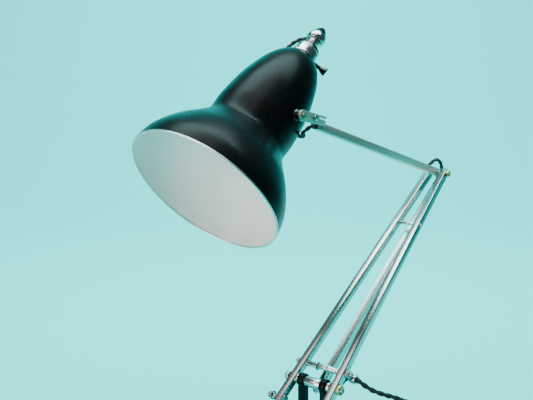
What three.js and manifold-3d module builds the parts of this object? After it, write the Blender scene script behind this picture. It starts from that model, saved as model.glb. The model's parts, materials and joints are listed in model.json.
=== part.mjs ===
// Spring-balanced architect desk lamp, in millimetres.
// +X is forward, the way the shade points; +Z is up; the origin is the centre of the base's underside.
// Bores are CLEARANCE wider in radius than the pins inside them, and touching faces stand GAP apart.
import * as THREE from 'three';
import { mergeVertices } from 'three/addons/utils/BufferGeometryUtils.js';
import Module from 'manifold-3d';

const wasm = await Module();
wasm.setup();

// ---- Driving dimensions -------------------------------------------------------------------------
const GAP = 0.3;
const CLEARANCE = 0.3;
const PIN_SIDES = 14;

const BASE_SIDE = 152;
const BASE_STEP_SIDE = 112;
const BASE_STEP_Z = 17;
const BASE_TOP_Z = 31;
const BASE_WALL = 1.6;
const FELT_T = 1.5;

const PIVOT_Z = 165;               // height of the lower arms' pivot
const UPRIGHT_Y = 14;              // half the spacing of the fork's uprights
const UPRIGHT_W = 6.5;
const UPRIGHT_D = 9;
const CROSSPIECE_Z = [43, 58];
const STUD_Z = 50;                 // lower anchors of the springs

const TUBE = 8;                    // square tube, all four arms
const TUBE_WALL = 0.9;
const LEAN = 47.8;                 // lower arms, degrees back from upright
const RISE = 18.4;                 // upper arm, degrees above level
const ELBOW_AT = 281;              // pivot to elbow, along the lower arms
const CROSSBAR_AT = 19;
const BRACE_AT = 208;
const SPRING_BOLT_AT = -25;
const ARM_Y_AT_PIVOT = 26.3;
const ARM_Y_AT_ELBOW = 9.1;
const LINK_OFFSET = 12;            // crank length, pivot to the centre link
const SPRING_Y = 38;
const SPRING_R = 5;
const HOOK_R = 3.6;

const UPPER_LENGTH = 220;          // elbow to the front end of the upper tube
const TILT_PIVOT = [247.3, 3];     // along and above the upper arm
const SHADE_DROOP = 40.1;          // shade axis, degrees below level
const HEAD_Y = -46.4;              // the shade hangs beside the arm, on its left
const SHADE_PIVOT_T = 105.6;       // tilt pivot, up from the mouth
const MOUTH_R = 80;
const SHADE_WALL = 1.2;

const FLEX_R = 2.1;                // flex held by the arms
const CORD_R = 2.7;                // free supply cord
const COIL_CENTRE = [-160, 25];
const COIL_MID_R = 31;
const COIL_HALF_W = 5.7;
const COIL_H = 21.8;

// ---- Materials ----------------------------------------------------------------------------------
function finish(color, metalness, roughness) {
  return new THREE.MeshStandardMaterial({ color, metalness, roughness });
}
const BLACK_PAINT = finish(0x0d0e10, 0.1, 0.25);
const NICKEL = finish(0xc4c2bb, 1, 0.28);
const BRASS = finish(0xb28a45, 1, 0.3);
const STEEL = finish(0x8b8d90, 1, 0.35);
const IRON = finish(0x45474a, 0.7, 0.7);
const BAKELITE = finish(0x141210, 0, 0.35);
const CLOTH = finish(0x1c1b1d, 0, 0.9);
const FELT = finish(0x23392c, 0, 1);
const GLASS = finish(0xf2f0e8, 0, 0.3);

// ---- Geometry helpers ---------------------------------------------------------------------------
function box([x0, x1], [y0, y1], [z0, z1]) {
  const geometry = new THREE.BoxGeometry(x1 - x0, y1 - y0, z1 - z0);
  return geometry.translate((x0 + x1) / 2, (y0 + y1) / 2, (z0 + z1) / 2);
}

// Cylinder along Y through (x, z); 6 sides make a hexagon.
function rodY(radius, y0, y1, x = 0, z = 0, sides = PIN_SIDES) {
  return new THREE.CylinderGeometry(radius, radius, y1 - y0, sides).translate(x, (y0 + y1) / 2, z);
}

function rodZ(radius, z0, z1, sides = PIN_SIDES) {
  const geometry = new THREE.CylinderGeometry(radius, radius, z1 - z0, sides);
  return geometry.rotateX(Math.PI / 2).translate(0, 0, (z0 + z1) / 2);
}

function rodX(radius, x0, x1, z = 0, sides = PIN_SIDES) {
  const geometry = new THREE.CylinderGeometry(radius, radius, x1 - x0, sides);
  return geometry.rotateZ(Math.PI / 2).translate((x0 + x1) / 2, 0, z);
}

// Solid of revolution about Z from [radius, z] points that run upwards on the outside.
function revolve(profile, sides = 32) {
  const points = profile.map(([r, z]) => new THREE.Vector2(r, z));
  return new THREE.LatheGeometry(points, sides).rotateX(Math.PI / 2);
}

// Ring about Y, a bush or washer.
function bushY(inner, outer, y0, y1, x = 0, z = 0) {
  const profile = [[inner, y0], [outer, y0], [outer, y1], [inner, y1], [inner, y0]];
  const points = profile.map(([r, y]) => new THREE.Vector2(r, y));
  return new THREE.LatheGeometry(points, PIN_SIDES).translate(x, 0, z);
}

// Flat plate of an outline in the XZ plane, from y0 to y1.
function plateY(shape, y0, y1) {
  const geometry = new THREE.ExtrudeGeometry(shape, { depth: y1 - y0, bevelEnabled: false, curveSegments: 10 });
  return geometry.rotateX(Math.PI / 2).translate(0, y1, 0);
}

// Round bar along a smooth curve through the points.
function sweep(points, radius, steps, sides = 8) {
  const section = new THREE.Shape();
  section.absarc(0, 0, radius, 0, 2 * Math.PI);
  const curve = new THREE.CatmullRomCurve3(points.map((p) => new THREE.Vector3(...p)), false, 'centripetal');
  const settings = { steps, curveSegments: sides / 2, bevelEnabled: false, extrudePath: curve };
  return new THREE.ExtrudeGeometry(section, settings);
}

function roundedSquare(side, corner) {
  const h = side / 2;
  const shape = new THREE.Shape();
  shape.moveTo(-h + corner, -h);
  shape.lineTo(h - corner, -h);
  shape.absarc(h - corner, -h + corner, corner, -Math.PI / 2, 0);
  shape.lineTo(h, h - corner);
  shape.absarc(h - corner, h - corner, corner, 0, Math.PI / 2);
  shape.lineTo(-h + corner, h);
  shape.absarc(-h + corner, h - corner, corner, Math.PI / 2, Math.PI);
  shape.lineTo(-h, -h + corner);
  shape.absarc(-h + corner, -h + corner, corner, Math.PI, 1.5 * Math.PI);
  return shape;
}

// Rounded square block from z0 to z1 with its top edge chamfered by bevel.
function slab(side, corner, z0, z1, bevel) {
  const settings = {
    depth: z1 - z0 - bevel, bevelEnabled: true, bevelThickness: bevel, bevelSize: bevel,
    bevelOffset: -bevel, bevelSegments: 2, curveSegments: 3,
  };
  const block = new THREE.ExtrudeGeometry(roundedSquare(side, corner), settings).translate(0, 0, z0);
  return cut(block, box([-side, side], [-side, side], [z0 - 2 * bevel - 1, z0]));
}

function solidOf(geometry) {
  const bare = geometry.clone();
  bare.deleteAttribute('normal');
  bare.deleteAttribute('uv');
  const merged = mergeVertices(bare, 1e-4);
  const vertProperties = new Float32Array(merged.attributes.position.array);
  const triVerts = new Uint32Array(merged.index.array);
  return new wasm.Manifold(new wasm.Mesh({ numProp: 3, vertProperties, triVerts }));
}

function geometryOf(solid) {
  const mesh = solid.getMesh();
  const geometry = new THREE.BufferGeometry();
  geometry.setAttribute('position', new THREE.BufferAttribute(mesh.vertProperties, 3));
  geometry.setIndex(new THREE.BufferAttribute(mesh.triVerts, 1));
  geometry.computeVertexNormals();
  return geometry;
}

function cut(geometry, ...tools) {
  return geometryOf(tools.reduce((solid, tool) => solid.subtract(solidOf(tool)), solidOf(geometry)));
}

function join(geometry, ...others) {
  return geometryOf(others.reduce((solid, other) => solid.add(solidOf(other)), solidOf(geometry)));
}

// Copy of a geometry reflected to the other side of the XZ plane.
function mirrored(geometry) {
  const copy = geometry.clone().scale(1, -1, 1);
  const index = copy.index.array;
  for (let i = 0; i < index.length; i += 3) [index[i], index[i + 1]] = [index[i + 1], index[i]];
  copy.computeVertexNormals();
  return copy;
}

// Headed pin along Y: shank, then a head of six or many sides at its left end.
function boltY(radius, y0, y1, headR, headT, x = 0, z = 0, headSides = 6) {
  return join(rodY(radius, y0, y1, x, z), rodY(headR, y0 - headT, y0 + 0.01, x, z, headSides));
}

// ---- Frames -------------------------------------------------------------------------------------
const lamp = new THREE.Group();

function frameAt(x, z, degreesAboutY, y = 0) {
  const group = new THREE.Group();
  group.position.set(x, y, z);
  group.rotation.y = THREE.MathUtils.degToRad(degreesAboutY);
  lamp.add(group);
  group.updateMatrixWorld(true);
  return group;
}

function worldOf(group, [x, y, z]) {
  return group.localToWorld(new THREE.Vector3(x, y, z)).toArray();
}

// In lowerArms +Z runs up the arms; in upperArm +X runs to the head; in head +Z is the shade's axis,
// from the mouth to the lampholder, and +Y is the side that the arm holds.
const lowerArms = frameAt(0, PIVOT_Z, -LEAN);
const elbow = worldOf(lowerArms, [0, 0, ELBOW_AT]);
const upperArm = frameAt(elbow[0], elbow[2], -RISE);
const tiltPivot = worldOf(upperArm, [TILT_PIVOT[0], 0, TILT_PIVOT[1]]);
const headTurn = SHADE_DROOP - 90;
const mouthOffset = new THREE.Vector3(0, 0, -SHADE_PIVOT_T);
mouthOffset.applyAxisAngle(new THREE.Vector3(0, 1, 0), THREE.MathUtils.degToRad(headTurn));
const head = frameAt(tiltPivot[0] + mouthOffset.x, tiltPivot[2] + mouthOffset.z, headTurn, HEAD_Y);

function piece(name, geometry, material, frame = lamp) {
  const mesh = new THREE.Mesh(geometry, material);
  mesh.name = name;
  frame.add(mesh);
}

// ---- Base ---------------------------------------------------------------------------------------
const SPINDLE_R = 4;

function stepped(inset, z0, topDrop) {
  const bevel = 2.5;
  const lower = slab(BASE_SIDE - 2 * inset, 10 - inset, z0, BASE_STEP_Z - topDrop, bevel);
  const upper = slab(BASE_STEP_SIDE - 2 * inset, 8 - inset, z0, BASE_TOP_Z - topDrop, bevel);
  return join(lower, upper);
}

function makeBase() {
  const underside = FELT_T + GAP;
  const bore = rodZ(SPINDLE_R + CLEARANCE, 0, BASE_TOP_Z + 1);
  const hollow = stepped(BASE_WALL, underside - 1, BASE_WALL);
  piece('base_cover', cut(stepped(0, underside, 0), hollow, bore), BLACK_PAINT);
  const headRecess = rodZ(11, underside - 1, 9);
  const weight = stepped(BASE_WALL + GAP, underside, BASE_WALL + GAP);
  piece('base_weight', cut(weight, bore, headRecess), IRON);
  const feltSettings = { depth: FELT_T, bevelEnabled: false, curveSegments: 3 };
  const felt = new THREE.ExtrudeGeometry(roundedSquare(BASE_SIDE - 8, 7), feltSettings);
  piece('base_felt', felt, FELT);
  const spindle = join(rodZ(SPINDLE_R, 5, CROSSPIECE_Z[1] + 5), rodZ(9, 5, 8.5));
  piece('swivel_spindle', spindle, STEEL);
}

// ---- Fork and what it carries -------------------------------------------------------------------
const PIVOT_R = 3;
const STUD_R = 2.2;
const STUD_END = 43;

function makeFork() {
  const halfW = UPRIGHT_W / 2;
  const outer = UPRIGHT_Y + halfW;
  const hub = revolve([[0, BASE_TOP_Z + GAP], [15, BASE_TOP_Z + GAP], [15, BASE_TOP_Z + 4], [11, BASE_TOP_Z + 7],
    [10, CROSSPIECE_Z[0] + 0.5], [0, CROSSPIECE_Z[0] + 0.5]]);
  const parts = [box([-8, 8], [-outer, outer], CROSSPIECE_Z)];
  for (const side of [-1, 1]) {
    const yRange = [side * UPRIGHT_Y - halfW, side * UPRIGHT_Y + halfW];
    const shank = [CROSSPIECE_Z[1] - 1, PIVOT_Z];
    parts.push(box([-UPRIGHT_D / 2, UPRIGHT_D / 2], yRange, shank));
    parts.push(rodY(UPRIGHT_D / 2 + 2.5, ...yRange, 0, PIVOT_Z));
  }
  const bores = [
    rodZ(SPINDLE_R + CLEARANCE, 0, CROSSPIECE_Z[1] + 1),
    rodY(PIVOT_R + CLEARANCE, -outer - 1, outer + 1, 0, PIVOT_Z),
  ];
  piece('fork', cut(join(hub, ...parts), ...bores), BLACK_PAINT);

  const stud = join(
    rodY(STUD_R, outer + GAP, STUD_END, 0, STUD_Z),
    rodY(4.5, outer + GAP, outer + 4, 0, STUD_Z, 6),
    rodY(3.4, STUD_END - 1.5, STUD_END, 0, STUD_Z),
  );
  piece('spring_stud_left', mirrored(stud), STEEL);
  piece('spring_stud_right', stud, STEEL);

  const nutZ = CROSSPIECE_Z[1] + GAP;
  const dome = revolve([[0, nutZ], [6, nutZ], [6, nutZ + 7], [4.6, nutZ + 9.4], [2, nutZ + 10.6], [0, nutZ + 10.8]], 20);
  const blindBore = rodZ(SPINDLE_R + CLEARANCE, nutZ - 1, nutZ + 5);
  piece('swivel_nut', cut(join(dome, rodZ(8, nutZ, nutZ + 5.5, 6)), blindBore), STEEL);
}

function makePivot() {
  const armInner = ARM_Y_AT_PIVOT - TUBE / 2;
  const armOuter = ARM_Y_AT_PIVOT + TUBE / 2 + 0.3;
  const forkOuter = UPRIGHT_Y + UPRIGHT_W / 2;
  const nutY = armOuter + GAP;
  piece('pivot_bolt', boltY(PIVOT_R, -nutY, nutY + 6, 5.5, 4, 0, PIVOT_Z), STEEL);
  piece('pivot_nut', cut(rodY(5.5, nutY, nutY + 4, 0, PIVOT_Z, 6),
    rodY(PIVOT_R + CLEARANCE, nutY - 1, nutY + 5, 0, PIVOT_Z)), BRASS);
  const [y0, y1] = [forkOuter + GAP, armInner - GAP - 0.3];
  piece('pivot_spacer_left', bushY(PIVOT_R + CLEARANCE, 5.2, -y1, -y0, 0, PIVOT_Z), NICKEL);
  piece('pivot_spacer_right', bushY(PIVOT_R + CLEARANCE, 5.2, y0, y1, 0, PIVOT_Z), NICKEL);
}

// ---- Lower arms, in their own frame -------------------------------------------------------------
const armSlope = (ARM_Y_AT_PIVOT - ARM_Y_AT_ELBOW) / ELBOW_AT;
function armY(along) {
  return ARM_Y_AT_PIVOT - armSlope * along;
}

const SMALL_BOLT_R = 2;
const BRACE_R = 1.7;
const CLIP_CENTRE = [-9.6, 20];
const CLIP_Y = [30, 37];

function squareTube(z0, z1) {
  const half = TUBE / 2;
  const inner = half - TUBE_WALL;
  return cut(box([-half, half], [-half, half], [z0, z1]), box([-inner, inner], [-inner, inner], [z0 - 1, z1 + 1]));
}

function makeLowerArm(name, side) {
  const tube = squareTube(SPRING_BOLT_AT - 6, ELBOW_AT + 5);
  tube.rotateX(side * Math.atan(armSlope)).translate(0, side * ARM_Y_AT_PIVOT, 0);
  const holes = [[SPRING_BOLT_AT, SMALL_BOLT_R], [0, PIVOT_R], [CROSSBAR_AT, SMALL_BOLT_R],
    [BRACE_AT, BRACE_R], [ELBOW_AT, SMALL_BOLT_R]];
  const bores = holes.map(([along, radius]) => rodY(radius + CLEARANCE, -60, 60, 0, along));
  piece(`lower_arm_${name}`, cut(tube, ...bores), NICKEL, lowerArms);
}

function makeCrossbar() {
  const face = armY(CROSSBAR_AT) + TUBE / 2 + 0.3;
  const inner = armY(CROSSBAR_AT) - TUBE / 2 - GAP - 0.4;
  const bore = SMALL_BOLT_R + CLEARANCE;
  piece('crossbar_rod', boltY(SMALL_BOLT_R, -face - GAP, CLIP_Y[1], 3.8, 3, 0, CROSSBAR_AT), STEEL, lowerArms);
  const middle = 5.7;
  piece('crossbar_sleeve_middle', bushY(bore, 3, -middle, middle, 0, CROSSBAR_AT), NICKEL, lowerArms);
  for (const [name, side] of [['left', -1], ['right', 1]]) {
    const [y0, y1] = side < 0 ? [-inner, -middle - GAP] : [middle + GAP, inner];
    const flange = side < 0 ? [y1 - 1, y1] : [y0, y0 + 1];
    const sleeve = join(bushY(bore, 3, y0, y1, 0, CROSSBAR_AT), bushY(bore, 4.2, ...flange, 0, CROSSBAR_AT));
    piece(`crossbar_sleeve_${name}`, sleeve, NICKEL, lowerArms);
  }
  const nut = cut(rodY(3.8, face + GAP, face + 3, 0, CROSSBAR_AT, 6), rodY(bore, face, face + 4, 0, CROSSBAR_AT));
  piece('crossbar_nut', nut, NICKEL, lowerArms);

  const [clipX, clipZ] = CLIP_CENTRE;
  const strapY = [face + 3 + GAP, face + 4.8 + GAP];
  const ring = rodY(CORD_R + 2, ...CLIP_Y, clipX, clipZ);
  const strap = box([clipX, 4], strapY, [CROSSBAR_AT - 3.5, CROSSBAR_AT + 3.5]);
  const bores = [rodY(CORD_R + CLEARANCE, 20, 50, clipX, clipZ), rodY(bore, 20, 50, 0, CROSSBAR_AT)];
  piece('cord_clip', cut(join(ring, strap), ...bores), NICKEL, lowerArms);
}

function makeLowerArmFasteners() {
  const reach = armY(BRACE_AT) + TUBE / 2 + 1.2;
  piece('brace_rod', rodY(BRACE_R, -reach, reach, 0, BRACE_AT), NICKEL, lowerArms);
  const armFace = armY(SPRING_BOLT_AT) - TUBE / 2 - 0.3 - GAP;
  const bolt = join(
    rodY(SMALL_BOLT_R, armFace, STUD_END, 0, SPRING_BOLT_AT),
    rodY(4, armFace - 2.2, armFace, 0, SPRING_BOLT_AT, 6),
    rodY(3.2, STUD_END - 1.5, STUD_END, 0, SPRING_BOLT_AT),
  );
  piece('spring_bolt_left', mirrored(bolt), STEEL, lowerArms);
  piece('spring_bolt_right', bolt, STEEL, lowerArms);
  const elbowFace = ARM_Y_AT_ELBOW + TUBE / 2 + 0.3 + GAP;
  piece('elbow_bolt', boltY(SMALL_BOLT_R, -elbowFace, elbowFace + 3.5, 3.8, 2.5, 0, ELBOW_AT), BRASS, lowerArms);
  piece('elbow_nut', cut(rodY(3.8, elbowFace, elbowFace + 2.6, 0, ELBOW_AT, 6),
    rodY(SMALL_BOLT_R + CLEARANCE, elbowFace - 1, elbowFace + 4, 0, ELBOW_AT)), BRASS, lowerArms);
}

// ---- Elbow and upper arm ------------------------------------------------------------------------
const BUSH_R = 2.9;
const LINK_PIN_R = 1.5;
const LUG_Y = [1.5, 3];            // the lug stands to one side, so the flex passes beside it
const LUG_EYE_R = 3.4;

// Centre of the upper link pin, seen from the elbow in the lower arms' frame and in the upper arm's.
const linkTop = upperArm.worldToLocal(new THREE.Vector3(...worldOf(lowerArms, [-LINK_OFFSET, 0, ELBOW_AT])));

function makeElbow() {
  const armInner = ARM_Y_AT_ELBOW - TUBE / 2 - 0.3;
  piece('elbow_bush', bushY(SMALL_BOLT_R + CLEARANCE, BUSH_R, -armInner, armInner), NICKEL, upperArm);

  const eye = rodY(LUG_EYE_R, ...LUG_Y, linkTop.x, linkTop.z);
  const web = new THREE.Shape();
  web.moveTo(9, -TUBE / 2 - GAP);
  web.lineTo(-3.5, -TUBE / 2 - GAP);
  web.lineTo(linkTop.x - LUG_EYE_R * 0.9, linkTop.z + 1);
  web.lineTo(linkTop.x + LUG_EYE_R * 0.8, linkTop.z - 2);
  const lug = cut(join(plateY(web, ...LUG_Y), eye), rodY(LINK_PIN_R + CLEARANCE, 0, 5, linkTop.x, linkTop.z));
  piece('elbow_lug', lug, NICKEL, upperArm);
}

function makeUpperArm() {
  const tube = squareTube(-TUBE / 2, UPPER_LENGTH).rotateY(Math.PI / 2);
  const inner = TUBE / 2 - TUBE_WALL;
  const flexSlot = box([8.5, 26], [-inner, inner], [0, TUBE]);
  piece('upper_arm_tube', cut(tube, rodY(BUSH_R + CLEARANCE, -9, 9), flexSlot), NICKEL, upperArm);
}

const CHEEK_Y = [4.3, 5.8];
const BRACKET_X = 213;             // rear end of the bracket, along the arm
const CLAMP_AT = [229.5, 4.8];
const SCREW_R = 1.6;
const NUT_Y = [36.8, 39.8];        // nut inside the shade, out from its axis

// The bracket saddles the tube's end, and its right-hand cheek runs on to the tilt pivot.
function makeKnuckle() {
  const [pivotX, pivotZ] = TILT_PIVOT;
  const eyeR = 5.4;
  const cheek = new THREE.Shape();
  cheek.moveTo(pivotX, pivotZ + eyeR);
  cheek.lineTo(BRACKET_X, 10);
  cheek.lineTo(BRACKET_X, 1.2);
  cheek.lineTo(pivotX, pivotZ - eyeR);
  cheek.absarc(pivotX, pivotZ, eyeR, -Math.PI / 2, Math.PI / 2);
  const spare = [BRACKET_X, BRACKET_X + 8];
  const web = box(spare, [-CHEEK_Y[1], CHEEK_Y[0] + 0.1], [TUBE / 2 + GAP, TUBE / 2 + 1.6]);
  const farCheek = box(spare, [-CHEEK_Y[1], -CHEEK_Y[0]], [-3, TUBE / 2 + 1.6]);
  const slot = box([BRACKET_X - 1, BRACKET_X + 10], [CHEEK_Y[0] - 0.2, 9], [6.1, 7.6]);
  const bores = [rodY(1.4 + CLEARANCE, 3, 9, ...CLAMP_AT), rodY(SCREW_R + CLEARANCE, 3, 9, pivotX, pivotZ), slot];
  piece('knuckle_bracket', cut(join(plateY(cheek, ...CHEEK_Y), web, farCheek), ...bores), NICKEL, upperArm);

  const faceY = CHEEK_Y[1] + GAP;
  const shank = rodY(SCREW_R, HEAD_Y + NUT_Y[0] - 1, faceY + 0.01, pivotX, pivotZ);
  const screwHead = rodY(2.5, faceY, faceY + 1.7, pivotX, pivotZ, 20);
  const driverSlot = box([pivotX - 3, pivotX + 3], [faceY + 0.9, faceY + 3], [pivotZ - 0.35, pivotZ + 0.35]);
  piece('tilt_screw', cut(join(shank, screwHead), driverSlot), BRASS, upperArm);
  const clamp = join(rodY(1.4, 3.2, faceY + 0.01, ...CLAMP_AT), rodY(2.8, faceY, faceY + 1.4, ...CLAMP_AT, 20),
    rodY(2.6, 2, 4, ...CLAMP_AT, 6));
  piece('clamp_screw', clamp, NICKEL, upperArm);
}

// ---- Centre link and crank ----------------------------------------------------------------------
const TUBE_END = 16;               // from the upper link pin down to the open end of the tube
const FOOT_END = 26;               // from the pivot's level up to the lower end of the tube

function makeLink() {
  const half = TUBE / 2;
  const inner = half - TUBE_WALL;
  const outer = squareTube(-4.5, ELBOW_AT + 4.2);
  const topNotch = box([-9, 9], [-inner, inner], [ELBOW_AT - TUBE_END, ELBOW_AT + 9]);
  const footNotch = box([-9, 9], [-inner, inner], [-9, FOOT_END]);
  const pinBores = [rodY(LINK_PIN_R + CLEARANCE, -9, 9, 0, ELBOW_AT), rodY(LINK_PIN_R + CLEARANCE, -9, 9)];
  // Only the cheek beside the lug reaches the upper pin.
  const spareCheek = box([-9, 9], [-half - 1, -inner + 0.01], [ELBOW_AT - 8, ELBOW_AT + 9]);
  const link = cut(outer, topNotch, footNotch, spareCheek, ...pinBores);
  piece('link_tube', link.translate(-LINK_OFFSET, 0, 0), NICKEL, lowerArms);

  const ferrule = [[FLEX_R + 0.3, 0], [inner - 0.25, 0], [inner - 0.25, 5], [FLEX_R + 0.3, 5], [FLEX_R + 0.3, 0]];
  piece('link_ferrule', revolve(ferrule, 20).translate(-LINK_OFFSET, 0, FOOT_END), BRASS, lowerArms);

  const topPin = join(rodY(LINK_PIN_R, LUG_Y[0] - 0.2, 5), rodY(2.3, half + 0.2, 5));
  piece('link_top_pin', topPin.translate(-LINK_OFFSET, 0, ELBOW_AT), STEEL, lowerArms);
  const footPin = join(rodY(LINK_PIN_R, -5, 5), rodY(2.6, -5.2, -half - 0.3), rodY(2.6, half + 0.3, 5.2));
  piece('link_foot_pin', footPin.translate(-LINK_OFFSET, 0, 0), STEEL, lowerArms);
}

// The crank is pinched between the fork's uprights and holds the foot of the link.
function makeCrank() {
  const halfT = 1.3;
  const reach = TUBE / 2 - TUBE_WALL - 0.4;
  const inner = UPRIGHT_Y - UPRIGHT_W / 2 - GAP;
  const bar = box([-LINK_OFFSET, 0], [-halfT, halfT], [-3.6, 3.6]);
  const boss = rodY(3.6, -reach, reach, -LINK_OFFSET);
  const bores = [rodY(PIVOT_R + CLEARANCE, -20, 20), rodY(LINK_PIN_R + CLEARANCE + 0.1, -9, 9, -LINK_OFFSET)];
  piece('crank_lever', cut(join(rodY(5.5, -inner, inner), bar, boss), ...bores), NICKEL, lowerArms);
}

// ---- Springs ------------------------------------------------------------------------------------
// Each spring is a close coil between two hooks, from lower to upper, both [x, z]. The upper hook is
// a piece of its own, because it travels as the coil stretches.
const HOOK_WIRE_R = 0.9;
const HOOK_REACH = 9;

function makeSpring(name, y, lower, upper) {
  const length = Math.hypot(upper[0] - lower[0], upper[1] - lower[1]);
  const tilt = Math.atan2(upper[0] - lower[0], upper[1] - lower[1]);
  const place = (geometry) => geometry.rotateY(tilt).translate(lower[0], y, lower[1]);
  const loop = (z) => new THREE.TorusGeometry(HOOK_R, HOOK_WIRE_R, 6, 14).rotateX(Math.PI / 2).translate(0, 0, z);
  const shank = (z0, z1) => rodZ(HOOK_WIRE_R, z0, z1, 8);
  const coil = rodZ(SPRING_R, HOOK_REACH, length - HOOK_REACH - GAP, 14);
  piece(`spring_${name}`, place(join(coil, loop(0), shank(HOOK_R, HOOK_REACH + 1))), STEEL);
  const upperHook = join(loop(length), shank(length - HOOK_REACH, length - HOOK_R));
  piece(`spring_hook_${name}`, place(upperHook), STEEL);
}

function makeSprings() {
  const bolt = worldOf(lowerArms, [0, 0, SPRING_BOLT_AT]);
  makeSpring('left', -SPRING_Y, [0, STUD_Z], [bolt[0], bolt[2]]);
  makeSpring('right', SPRING_Y, [0, STUD_Z], [bolt[0], bolt[2]]);
}

// ---- Head, in its own frame ---------------------------------------------------------------------
const SWITCH_T = 185.6;            // switch bar, up from the mouth
const SWITCH_TURN = 143;           // direction of the bar about the shade's axis, degrees
const CORD_HOLE_T = 210;

function makeShade() {
  const keyPoints = [[MOUTH_R, 0], [76.7, 18.2], [65.7, 39.5], [50.2, 59.8], [42.9, 72.6], [42.7, 96.1],
    [39, 128.1], [31, 157], [21.9, 174], [14.1, 181]];
  const outline = new THREE.SplineCurve(keyPoints.map(([r, t]) => new THREE.Vector2(r, t)));
  const steps = 15;
  const outer = [];
  const inner = [];
  for (let i = 0; i <= steps; i += 1) {
    const point = outline.getPoint(i / steps);
    const tangent = outline.getTangent(i / steps);
    outer.push([point.x, point.y]);
    inner.unshift([point.x - SHADE_WALL * tangent.y, Math.max(0, point.y + SHADE_WALL * tangent.x)]);
  }
  const shell = revolve([...outer, ...inner, outer[0]], 36);
  const screwBore = rodY(SCREW_R + CLEARANCE, NUT_Y[0], 50, 0, SHADE_PIVOT_T);
  piece('shade', cut(shell, screwBore), BLACK_PAINT, head);
}

// The tilt screw runs through the bush and the shade's wall into a nut inside the shade.
function makeShadeFastening() {
  const nut = cut(rodY(4.6, ...NUT_Y, 0, SHADE_PIVOT_T, 6), rodY(SCREW_R + CLEARANCE, 30, 50, 0, SHADE_PIVOT_T));
  piece('shade_nut', nut, NICKEL, head);
  const bushY0 = 42.9;
  const bushY1 = CHEEK_Y[0] - HEAD_Y - GAP;
  const bush = cut(rodY(5.6, bushY0, bushY1, 0, SHADE_PIVOT_T, 20), rodY(SCREW_R + CLEARANCE, 30, 60, 0, SHADE_PIVOT_T));
  piece('shade_bush', bush, BAKELITE, head);
}

function makeLampholder() {
  const body = revolve([[0, 160.2], [10.6, 160.2], [12, 161.8], [12, 172], [15, 172], [15, 175.6], [12.4, 175.6],
    [12.4, 181.4], [14.5, 181.4], [14.5, 182.9], [12.4, 183.2], [12.4, 193.6], [11.4, 194.6], [0, 194.6]], 20);
  const turn = THREE.MathUtils.degToRad(SWITCH_TURN);
  const barBore = rodX(2.4, -3, 20).rotateZ(turn).translate(0, 0, SWITCH_T);
  piece('lampholder_body', cut(body, barBore), NICKEL, head);
  const bar = revolve([[0, 2.5], [2.1, 2.5], [2.1, 20.3], [2.8, 21.4], [4.6, 26.2], [4.4, 27.6], [0, 28]], 16);
  piece('switch_bar', bar.rotateY(Math.PI / 2).rotateZ(turn).translate(0, 0, SWITCH_T), BAKELITE, head);

  piece('lampholder_ring', revolve([[0, 194.9], [11.3, 194.9], [11.3, 196.8], [0, 196.8]], 20), BAKELITE, head);
  const cap = revolve([[0, 197.1], [7.4, 197.1], [7.4, 199.2], [6.5, 200], [6.5, 205.4], [9, 206.7], [9.8, 208.6],
    [9.8, 210.8], [9, 214], [7.7, 216.7], [5.1, 221.4], [2.8, 224.6], [1.3, 225.7], [0, 225.8]], 18);
  const cordHole = rodY(FLEX_R + CLEARANCE, -14, -3, 0, CORD_HOLE_T, 16);
  piece('cord_cap', cut(cap, cordHole), NICKEL, head);

  const glassPoints = [[0, 70.5], [14.9, 74.2], [25.1, 85.4], [27.8, 101.4], [23.5, 117.4], [16, 132.4], [12, 146.3]];
  const glass = new THREE.SplineCurve(glassPoints.map(([r, t]) => new THREE.Vector2(r, t)));
  const profile = glass.getPoints(8).map((p) => [Math.max(0, p.x), p.y]);
  piece('bulb', revolve([...profile, [12, 159.9], [0, 159.9]], 18), GLASS, head);
}

// ---- Flex and supply cord -----------------------------------------------------------------------
const inWorld = (frame, points) => points.map((point) => worldOf(frame, point));

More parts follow.
